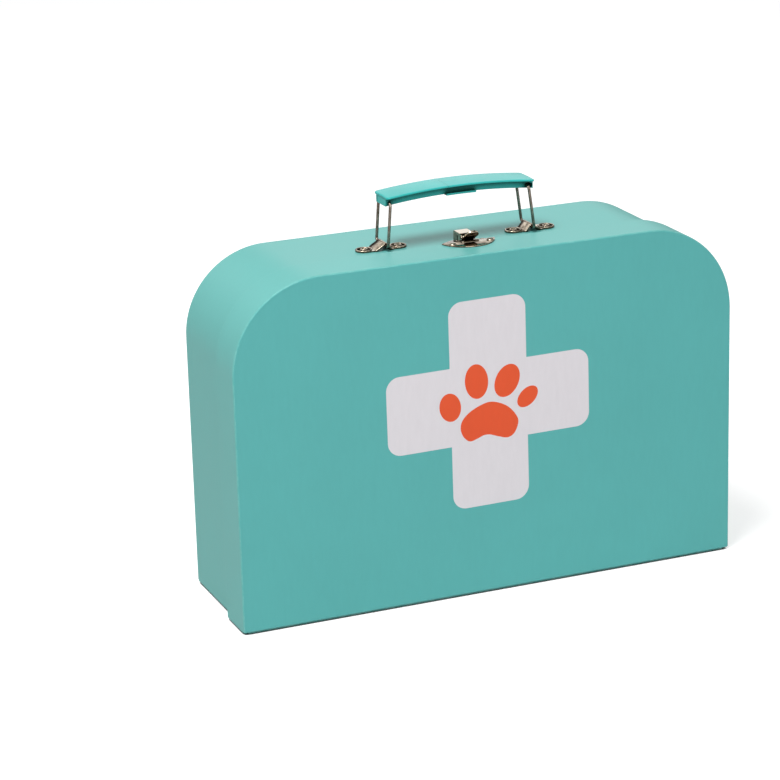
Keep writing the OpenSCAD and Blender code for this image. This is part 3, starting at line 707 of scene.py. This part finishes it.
# The saddle: a strip that rises from both feet and bends round the bar of the wire, its edges rounded.
def saddle(shape, middle, bar):
    top, base = strapTop, case["trayHeight"]
    foot, wall, wire = handle["saddleHalf"], handle["saddleWall"], handle["wire"] + handle["play"]
    centre = (bar, handle["footHeight"])
    rise = np.array([[-foot - 0.95, base + 0.25], [-foot - 0.7, top + 0.05], [-foot - 0.3, top + 0.22],
                     [-foot + 0.1, top + 0.6]])
    over = arcPoints(centre, handle["wire"] + wall, 148, 32, 12)
    outer = np.concatenate([rise, over, mirrored(rise)])
    under = np.array([[foot - 0.95, base + 0.05], [foot - 1, top]])
    inner = np.concatenate([under, arcPoints(centre, wire, 0, 180, 12), mirrored(under)])
    loop = np.concatenate([outer, inner]) + [middle, 0]
    half = handle["saddleWidth"] / 2
    edge = ((0.16, half), (0.05, half - 0.05), (0, half - 0.16))
    steps = [(inset, -y) for inset, y in edge] + [(0, 0), *edge[::-1]]
    shape.loft([upright(inwards(loop, inset), y) for inset, y in steps])


def bracketPiece(word, side):
    middle = side * handle["bracket"]
    shape = shapeMaker()
    for way in (-1, 1):
        strapEnd(shape, middle, way)
    saddle(shape, middle, side * (handle["foot"] - handle["bracket"]))
    shape.build("bracket" + word.title(), "nickel", "tray", ["handle_bracket_" + word], smooth=50)


# The shaft of a rivet and its clinched tail, as (radius, height) from under the head to the middle below.
def tailProfile(rivet):
    shaft, clinch, stack = rivet["shaft"], rivet["clinch"], rivet["stack"]
    end = -stack - rivet["tail"]
    lip, edge = rivet["rounding"]
    return [(shaft, 0.0), (shaft, -stack), (clinch - lip, -stack), (clinch, -stack - edge),
            (clinch, end + edge), (clinch - 0.2, end), (0.01, end)]


# A hollow head: the floor and the wall of the hollow, then a bead bent outwards.
def eyeletProfile():
    hollow, bead, depth = eyelet["hollow"], eyelet["bead"], eyelet["depth"]
    inside = [(0.01, -depth), (hollow, -depth), (hollow + 0.05, 0.1 - depth), (hollow + 0.15, 0.5),
              (hollow + 0.25, 0.72)]
    ring = [(eyelet["head"] - bead + bead * np.cos(t), 0.5 + eyelet["beadHeight"] * np.sin(t))
            for t in np.linspace(2.6, -1.2, 12)]
    return inside + ring + tailProfile(eyelet)


def rivetSet(name, places, profile, body, stands):
    shape = shapeMaker()
    for place in places:
        shape.lathe(profile, place, (0, 0, 1), 36)
    shape.build(name, "nickel", body, stands)


def buildHandle():
    for word, side, lean in (("left", -1, handle["leftLean"]), ("right", 1, handle["rightLean"])):
        ringPiece(word, side, lean)
        bracketPiece(word, side)
    places = [(s * handle["bracket"] + t * handle["rivet"], 0, strapTop - handle["sunk"])
              for s in (-1, 1) for t in (-1, 1)]
    rivetSet("handleEyelets", places, eyeletProfile(), "tray", ["handle_rivets"])


buildHandle()

grip = {
    "length": 89.3, "width": 19.6, "rise": 2.8, "endHeight": 226.6, "cover": 1.3, "crown": 0.22,
    "edge": 0.6, "corner": 2.0, "core": 5.7, "coreWidth": 11.2, "inset": 0.25,
    "wall": 2.0, "wallWidth": 13.6, "split": -8.0, "joint": 0.07,
    "clip": (-8.3, 9.5), "clipWidth": 15.6, "clipDepth": (5.1, 6.2),
    "leftBar": (-42.3, 223.069), "rightBar": (41.1, 222.942), "barHole": 0.92, "travel": 2.15, "play": 0.33,
}
gripRadius = ((grip["length"] / 2) ** 2 + grip["rise"] ** 2) / (2 * grip["rise"])


# Height of the arch at x, depth below its top: it is a part of a circle.
def archHeight(x, depth):
    return grip["endHeight"] + grip["rise"] - gripRadius + np.sqrt((gripRadius - depth) ** 2 - x ** 2)


def archPoints(x, depth):
    return np.stack([x, archHeight(x, depth)], -1)


# The side of a bar of the arch between two depths, with its ends at x0 and x1.
def archSide(x0, x1, depth0, depth1, steps=40):
    x = np.linspace(x0, x1, steps)
    return np.concatenate([archPoints(x, depth0), archPoints(x, depth1)[::-1]])


# Half of the cover: a flat plate over the arch with round edges, round corners at its outer end, and a
# slight crown across, that grows with the square of the distance from the middle.
def coverShell(shape, inner, outer, way):
    half, corner, edge = grip["width"] / 2, grip["corner"], grip["edge"]
    t = np.linspace(0, 1, 14)
    along = np.concatenate([inner + (outer - way * corner - inner) * np.linspace(0, 1, 30)[:-1],
                            outer - way * corner * (1 - np.sin(t * np.pi / 2))])
    close = np.clip((np.abs(along - inner)) / edge, 0, 1)
    reach = np.abs(outer - along)
    bow = np.sqrt(np.maximum(corner ** 2 - (corner - reach) ** 2, 0))
    wide = np.maximum(np.where(reach < corner, half - corner + bow, half), half - corner)
    turn = np.linspace(0, np.pi / 2, 7)[1:]
    rings = []
    for x, w, c, r in zip(along, wide, close, reach):
        soft = edge * min(1.0, 0.25 + c)
        near = min(1.0, np.sqrt(r / edge * (2 - r / edge))) if r < edge else 1.0
        drop = edge * 0.8 * (1 - near)
        y = np.linspace(soft - w, w - soft, 13)
        crown = grip["crown"] * (y / half) ** 2
        upper = np.stack([y, crown + drop], -1)
        side = crown[-1] + drop
        right = np.stack([w - soft + soft * np.sin(turn), side + soft * (1 - np.cos(turn))], -1)
        low = np.array([[w, grip["cover"] - 0.25], [w - 0.25, grip["cover"]]])
        loop = np.concatenate([upper, right, low, mirrored(low), mirrored(right)])
        rings.append(np.stack([np.full(len(loop), x), loop[:, 0], archHeight(x, loop[:, 1])], -1))
    shape.loft(rings)


# The left bar turns in a round hole, the right one in a slot in which it also travels.
def rightSlot():
    x, z = grip["rightBar"]
    return roundedLoop(x, x + grip["travel"], z - grip["play"], z + grip["play"], grip["barHole"], 6)


# An end wall beside the core, from inner to outer, notched on its inner side where the bar passes.
def wallSide(inner, outer, notch):
    x = np.array([inner, outer, outer, inner])
    depth = np.array([0.7, 0.7, grip["core"] - 0.2, grip["core"] - 0.2])
    return np.concatenate([archPoints(x, depth), notch])


# The notches: the part of the left bar's hole and of the right bar's slot that lies in the end wall.
def leftNotch(inner):
    angle = np.degrees(np.arccos((inner - grip["leftBar"][0]) / grip["barHole"]))
    return arcPoints(grip["leftBar"], grip["barHole"], 360 - angle, angle, 10)


def rightNotch(inner):
    x, z = grip["rightBar"]
    tall = grip["play"] + grip["barHole"]
    deep = x + grip["travel"] + grip["barHole"]
    low = np.array([[inner, -tall], [deep - 0.5, -tall], [deep, 0.5 - tall]])
    return np.concatenate([low, low[::-1] * [1, -1]]) + [0, z]


def buildGrip():
    half, core, wall, clip = (grip[key] / 2 for key in ("length", "coreWidth", "wallWidth", "clipWidth"))
    leftHole = arcPoints(grip["leftBar"], grip["barHole"], 0, 360, 24)[:-1]
    for word, way, hole, notch in (("Left", -1, leftHole, leftNotch), ("Right", 1, rightSlot(), rightNotch)):
        shape = shapeMaker()
        middle = grip["split"] + way * grip["joint"] / 2
        coverShell(shape, middle, way * half, way)
        ends = sorted((middle, way * (half - grip["inset"])))
        shape.plate(archSide(*ends, grip["cover"] * 0.6, grip["core"]), [hole], upright, -core, core)
        inner = way * (half - grip["wall"])
        side = wallSide(inner, way * (half - 0.1), notch(inner))
        shape.plate(side, [], upright, core, wall)
        shape.plate(side, [], upright, -wall, -core)
        if way < 0:
            shape.plate(archSide(*grip["clip"], *grip["clipDepth"], 16), [], upright, -clip, clip)
        shape.build("grip" + word, "gripPlastic", "grip", ["grip_%s_half" % word.lower()],
                    smooth=40, bevel=0.16)


buildGrip()
print("handle done")

latch = {
    "width": 32.0, "reach": 13.0, "plate": 0.7, "gap": 0.4, "rivet": 11.3, "rivetReach": 5.1,
    "keeperRadius": 1.2, "keeperLength": 10.6, "keeper": -20.1, "keeperRise": 0.9,
    "housingWidth": 8.2, "cheek": 0.8, "housing": (-15.4, -5.8), "housingTop": 202.6, "roof": -14.7,
    "roofBend": 0.9, "slot": 4.6, "pin": (-16.2, 200.4), "pinHole": 0.62,
    "barrel": 1.25, "bore": 0.66, "neck": 1.4, "curl": 3.4, "curlAngle": 44.0, "headReach": 1.9,
    "tongue": 4.35, "sheet": 0.8, "rimThick": 1.4, "rimReach": 1.15, "sidePlay": 0.25,
}
dome = {
    "head": 2.05, "height": 1.1, "shaft": 1.2, "stack": 3.5, "tail": 0.5, "clinch": 1.8,
    "rounding": (0.05, 0.12),
}
plateTop = {-1: case["height"] + latch["plate"], 1: case["trayHeight"] + latch["plate"]}


# A domed head: a quarter of an ellipse.
def domeProfile():
    cap = [(dome["head"] * np.sin(t), dome["height"] * np.cos(t)) for t in np.linspace(0.005, np.pi / 2, 10)]
    return cap + [(dome["head"] - 0.05, 0.0)] + tailProfile(dome)


# Half of a disc, cut along the seam, with its sharp ends rounded and a rounded upper edge.
def halfPlate(shape, way):
    radius = ((latch["width"] / 2) ** 2 + latch["reach"] ** 2) / (2 * latch["reach"])
    centre = case["seam"] + way * (latch["reach"] - radius)
    edge = case["seam"] + way * latch["gap"]
    limit = np.degrees(np.arcsin((edge - centre) * way / radius)) + 1.2
    loop = arcPoints((0, 0), radius, limit, 180 - limit, 48) * [1, way] + [0, centre]
    tip = loop[0, 0] - 0.35
    loop = np.concatenate([loop, [[-tip, edge + way * 0.05], [-tip + 1, edge], [0, edge], [tip - 1, edge],
                                  [tip, edge + way * 0.05]]])
    top = plateTop[way]
    base = top - latch["plate"]
    steps = ((0.08, base), (0, base + 0.08), (0, top - 0.22), (0.06, top - 0.08), (0.22, top))
    shape.loft([level(inwards(loop, inset), z) for inset, z in steps])


# The channel of the housing: two cheeks with a slot each, and a strip bent over them into roof and back.
def housingPiece():
    shape = shapeMaker()
    y0, y1 = latch["housing"]
    top, base, plate = latch["housingTop"], plateTop[1], plateTop[-1]
    roof, bend, wall = latch["roof"], latch["roofBend"], latch["cheek"]
    pinY, pinZ = latch["pin"]
    side = np.array([[y0, base], [y0, plate], [pinY - 0.7, plate + 0.4], [pinY - 1.3, plate + 0.7],
                     [pinY - 1.5, plate + 1.1], [pinY - 1.5, plate + 2.0], [pinY - 1.3, plate + 2.3],
                     [roof + 0.1, top - 0.3], [roof + 0.4, top - 0.15], [y1 - 0.5, top - 0.15],
                     [y1 - 0.15, top - 0.5], [y1 - 0.15, base]])
    slot = np.array([[0, 1.5], [0.2, 1.4], [1.1, 1.4], [1.3, 1.6], [1.3, 4.2], [1.1, 4.4], [0.2, 4.4],
                     [0, 4.2]]) + [case["seam"] + latch["slot"], base]
    hole = arcPoints((pinY, pinZ), latch["pinHole"], 0, 360, 18)[:-1]
    half = latch["housingWidth"] / 2
    for a, b in ((-half, -half + wall), (half - wall, half)):
        shape.plate(side, [slot, hole], sideways, a, b)
    turn = (y1 - bend, top - bend)
    strip = np.concatenate([[[roof, top]], arcPoints(turn, bend, 90, 0, 8), [[y1, base], [y1 - wall, base]],
                            arcPoints(turn, bend - wall, 0, 90, 8), [[roof, top - wall]]])
    shape.plate(strip, [], sideways, -half + 0.02, half - 0.02)
    shape.build("latchHousing", "nickel", "tray", ["latch_housing"], smooth=40, bevel=0.2)


# Where the tongue's sheet is at a length along it: flat from the pin, then an arc, then straight on at
# the angle that it has reached. Gives (y, z, angle).
def tonguePlace(length):
    pinY, pinZ = latch["pin"]
    curl, full = latch["curl"], np.radians(latch["curlAngle"])
    d = length - latch["neck"]
    if d < 0:
        return pinY - length, pinZ, 0.0
    a = min(d / curl, full)
    on = d - curl * a
    y = pinY - latch["neck"] - curl * np.sin(a) - on * np.cos(a)
    return y, pinZ + curl * (1 - np.cos(a)) + on * np.sin(a), a


# The tongue: each ring is a flattened loop round the sheet, as wide as the neck and then as the disc,
# which is thin between thick rims. A barrel round the pin is turned at its foot.
def tonguePiece():
    pinY, pinZ = latch["pin"]
    neckHalf = latch["housingWidth"] / 2 - latch["cheek"] - latch["sidePlay"]
    radius, sheet = latch["tongue"], latch["sheet"]
    head = latch["neck"] + latch["curl"] * np.radians(latch["curlAngle"]) + latch["headReach"]
    along = np.concatenate([np.linspace(0, head - 2.6, 14), np.linspace(head - 2.4, head + radius * 0.9, 26),
                            head + radius * np.sin(np.linspace(1.13, np.pi / 2 - 0.02, 8))])
    turn = np.linspace(0, 2 * np.pi, 40, endpoint=False)
    across, thick = (np.sign(part) * np.abs(part) ** power
                     for part, power in ((np.cos(turn), 0.7), (np.sin(turn), 0.4)))
    rings = []
    for s in along:
        y, z, a = tonguePlace(s)
        disc = np.sqrt(max(radius ** 2 - (s - head) ** 2, 0.0))
        wide = max(neckHalf, disc) if s < head else disc
        x = across * wide
        away = np.sqrt(x ** 2 + (s - head) ** 2)
        rim = np.clip((away - (radius - latch["rimReach"])) / 0.35, 0, 1)
        rim = rim * (away <= radius + 0.01) * np.clip((s - head + 0.6) / 0.5, 0, 1)
        swell = (sheet + (latch["rimThick"] - sheet) * rim) / 2
        offset = thick * swell * (1.0 if disc > 0.9 or s < head else 0.8)
        rings.append(np.stack([x, y + offset * np.sin(a), z + offset * np.cos(a)], -1))
    shape = shapeMaker()
    shape.loft(rings)
    edge = [(latch["bore"], neckHalf - 0.05), (latch["bore"] + 0.1, neckHalf),
            (latch["barrel"] - 0.12, neckHalf), (latch["barrel"], neckHalf - 0.12)]
    profile = [(r, -x) for r, x in edge] + edge[::-1]
    shape.loft([sideways(arcPoints((pinY, pinZ), r, 0, 360, 24)[:-1], x) for r, x in profile], closed=True)
    shape.build("latchTongue", "nickel", "tongue", ["latch_tongue"], smooth=50)


# The lid's half of the plate, with a round bar lying across it for the tongue to snap over.
def keeperPiece():
    r, half = latch["keeperRadius"], latch["keeperLength"] / 2
    end = [(r * np.sin(t), -half + 0.8 * (1 - np.cos(t))) for t in np.linspace(0.01, np.pi / 2, 8)]
    bar = end + [(radius, -x) for radius, x in end[::-1]]
    shape = shapeMaker()
    halfPlate(shape, -1)
    shape.lathe(bar, (0, latch["keeper"], plateTop[-1] + latch["keeperRise"] - r), (1, 0, 0), 32)
    shape.build("lidLatchPlate", "nickel", "lid", ["lid_latch_plate"])


def buildLatch():
    shape = shapeMaker()
    halfPlate(shape, 1)
    shape.build("latchBase", "nickel", "tray", ["latch_base_plate"])
    keeperPiece()
    housingPiece()
    tonguePiece()
    for name, way, body, node in (("latchBaseRivets", 1, "tray", "latch_base_rivets"),
                                  ("lidLatchRivets", -1, "lid", "lid_latch_rivets")):
        y = case["seam"] + way * latch["rivetReach"]
        places = [(x, y, plateTop[way]) for x in (-latch["rivet"], latch["rivet"])]
        rivetSet(name, places, domeProfile(), body, [node])


buildLatch()
print("latch done")

plainNodes = {
    "tealWrap": ("lid_bottom_wall", "tray_bottom_wall"),
    "liningPaper": ("lid_panel_lining", "lid_wall_lining", "tray_panel_lining", "tray_wall_lining"),
    "nickel": ("handle_washers", "latch_base_washers", "lid_latch_washers", "latch_pin"),
}
for look, names in plainNodes.items():
    for name in names:
        nodes[name].data.materials.clear()
        nodes[name].data.materials.append(looks[look])
print("plain nodes done")

studio = {
    "cameraPlace": (-0.62723, -1.45841, 0.61787), "lens": 135.47, "sensor": 36.0,
    "right": (0.92452465, -0.38016889, -0.02694037), "up": (0.1400801, 0.27321646, 0.95169866),
    "back": (-0.35444567, -0.88364268, 0.30584945),
    "floorSize": 30.0, "floorColor": (0.62, 0.62, 0.62, 1), "contactShadowColor": (0.01, 0.03, 0.03, 1),
    "floorLift": 0.6, "contact": 0.006, "worldLight": 0.42,
    # power, width and place of each lamp, and what they shine on
    "lamps": {"keyLight": (46.0, 1.0, (-0.85, -0.5, 2.15)), "fillLight": (19.0, 1.6, (-0.3, -2.4, 0.9))},
    "aim": (0, 0, 0.1),
}


# Puts an object at a place, with its own axes along right, up and back.
def putObject(piece, place, right, up, back):
    piece.matrix_world = Matrix.Translation(place) @ Matrix([right, up, back]).transposed().to_4x4()


# A round lamp at place, turned to shine on what it aims at.
def studioLight(name, power, size, place):
    lamp = bpy.data.lights.new(name, "AREA")
    lamp.shape = "DISK"
    lamp.size = size
    lamp.energy = power
    back = np.array(place) - np.array(studio["aim"])
    back = back / np.linalg.norm(back)
    side = np.cross([0, 0, 1], back)
    side = side / np.linalg.norm(side)
    putObject(addObject(name, lamp), place, side, np.cross(back, side), back)


def buildCamera():
    lens = bpy.data.cameras.new("camera")
    lens.lens = studio["lens"]
    lens.sensor_width = studio["sensor"]
    lens.clip_start, lens.clip_end = 0.01, 50
    camera = addObject("camera", lens)
    putObject(camera, *(studio[key] for key in ("cameraPlace", "right", "up", "back")))
    bpy.context.scene.camera = camera
    bpy.context.scene.view_settings.view_transform = "Standard"


# A white floor that keeps its shadows, with a painted contact shadow close under the case.
def buildFloor():
    half = studio["floorSize"] / 2
    mesh = bpy.data.meshes.new("floor")
    mesh.from_pydata([(-half, -half, 0), (half, -half, 0), (half, half, 0), (-half, half, 0)], [],
                     [(0, 1, 2, 3)])
    floor = addObject("floor", mesh)
    material = bpy.data.materials.new("floorWhite")
    material.use_nodes = True
    maker = nodeMaker(material.node_tree)
    seen = maker.new("LightPath", {}).outputs["Is Camera Ray"]
    # Painted shadow: near the case the floor's colour goes to dark teal and its glow for the camera drops.
    clear = maker.ramp(maker.nearness(studio["contact"]), 0.25, 0.55)
    maker.fill(maker.tree.nodes["Principled BSDF"], {
        "Base Color": maker.mix(clear, studio["contactShadowColor"], studio["floorColor"]),
        "Roughness": 0.9, "Specular IOR Level": 0.0, "Emission Color": (1, 1, 1, 1),
        "Emission Strength": maker.times(maker.times(seen, studio["floorLift"]), clear)})
    mesh.materials.append(material)


# White behind everything, a dim even light on the case, and light and dark places for metal to mirror.
def buildWorld():
    world = bpy.data.worlds.new("studio")
    bpy.context.scene.world = world
    world.use_nodes = True
    maker = nodeMaker(world.node_tree)
    path = maker.new("LightPath", {}).outputs
    seen = maker.math("MAXIMUM", path["Is Camera Ray"], path["Is Transmission Ray"])
    room = maker.noise(maker.coords("Generated"), 2.2, 1.0)
    metalSees = maker.times(maker.ramp(room, 0.42, 0.56, 0.07, 1.4), path["Is Glossy Ray"])
    other = maker.times(maker.math("SUBTRACT", 1.0, path["Is Glossy Ray"]),
                        maker.ramp(seen, 0.0, 1.0, studio["worldLight"], 1.0))
    strength = maker.plus(metalSees, other)
    maker.fill(maker.tree.nodes["Background"], {"Color": (1, 1, 1, 1), "Strength": strength})


buildCamera()
buildFloor()
buildWorld()
for name, values in studio["lamps"].items():
    studioLight(name, *values)
print("studio done")
